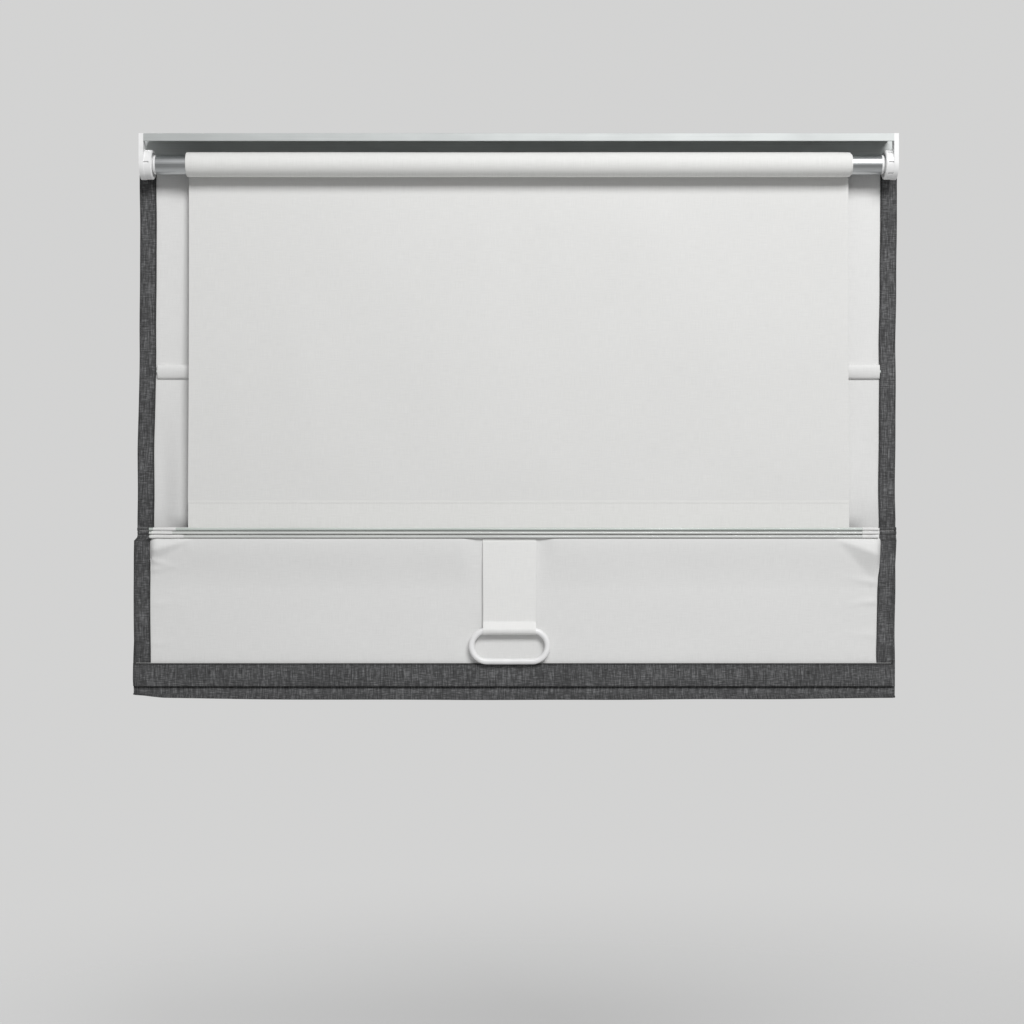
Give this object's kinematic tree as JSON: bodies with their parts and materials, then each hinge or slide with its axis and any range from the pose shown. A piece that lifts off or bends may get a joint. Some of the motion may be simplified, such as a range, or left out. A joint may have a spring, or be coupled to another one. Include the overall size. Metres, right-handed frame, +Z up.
{
  "type": "roman blind",
  "caption": "Cordless roman blind, partly raised: a spring roller winds a lift panel that carries a stack of ribs and folds, with a pull ring.",
  "frame": {"origin": "centre of the headrail's top face", "axes": "+X along the headrail, to the right when the back of the blind is faced; +Y towards the room, out of the face cloth; +Z up"},
  "size_m": [0.92, 0.0446, 0.6765],
  "materials": {
    "rail_aluminium": "satin",
    "tube_aluminium": "satin",
    "white_plastic": "satin",
    "spring_steel": "satin",
    "glass_fibre": "gloss",
    "panel_cloth": "matte",
    "white_lining": "matte",
    "strap_cloth": "matte",
    "white_tape": "matte",
    "charcoal_linen": "matte"
  },
  "bodies": {
    "rail": {"headrail": "rail_aluminium", "bracket_left": "white_plastic", "bracket_right": "white_plastic", "hub_left": "white_plastic", "hub_right": "white_plastic", "spring_shaft": "spring_steel", "spring_anchor": "white_plastic", "torsion_spring": "spring_steel", "rib_1": "glass_fibre", "rib_1_pocket": "white_lining", "hook_tape": "white_tape", "loop_tape": "white_tape", "upper_lining": "white_lining", "upper_cloth": "charcoal_linen", "open_fold": "charcoal_linen", "lift_panel": "panel_cloth"},
    "roller": {"roller_tube": "tube_aluminium", "plug_left": "white_plastic", "plug_right": "white_plastic", "spring_driver": "white_plastic", "wound_panel": "panel_cloth"},
    "stack": {"panel_hem": "panel_cloth", "rib_2": "glass_fibre", "rib_3": "glass_fibre", "rib_4": "glass_fibre", "rib_2_pockets": "white_lining", "rib_3_pockets": "white_lining", "rib_4_pockets": "white_lining", "lower_cloth": "charcoal_linen", "skirt_lining": "white_lining", "bottom_bar": "rail_aluminium", "pull_strap": "strap_cloth"},
    "ring": {"pull_ring": "white_plastic"}
  },
  "joints": [
    {"name": "stack_lift", "type": "slide", "parent": "rail", "child": "stack", "axis": [0, 0, 1], "range_m": [-0.19, 0.17], "deforming": ["lift_panel", "open_fold"]},
    {"name": "roller_spin", "type": "hinge", "parent": "rail", "child": "roller", "pos_m": [0, -0.002, -0.0343], "axis": [1, 0, 0], "range_deg": [-800, 800]},
    {"name": "ring_swing", "type": "hinge", "parent": "stack", "child": "ring", "pos_m": [-0.011, 0.0015, -0.5915], "axis": [1, 0, 0], "range_deg": [-165, 0]}
  ],
  "couplings": [
    {"joint": "roller_spin", "follows": "stack_lift", "rad_per_m": 66.667}
  ]
}
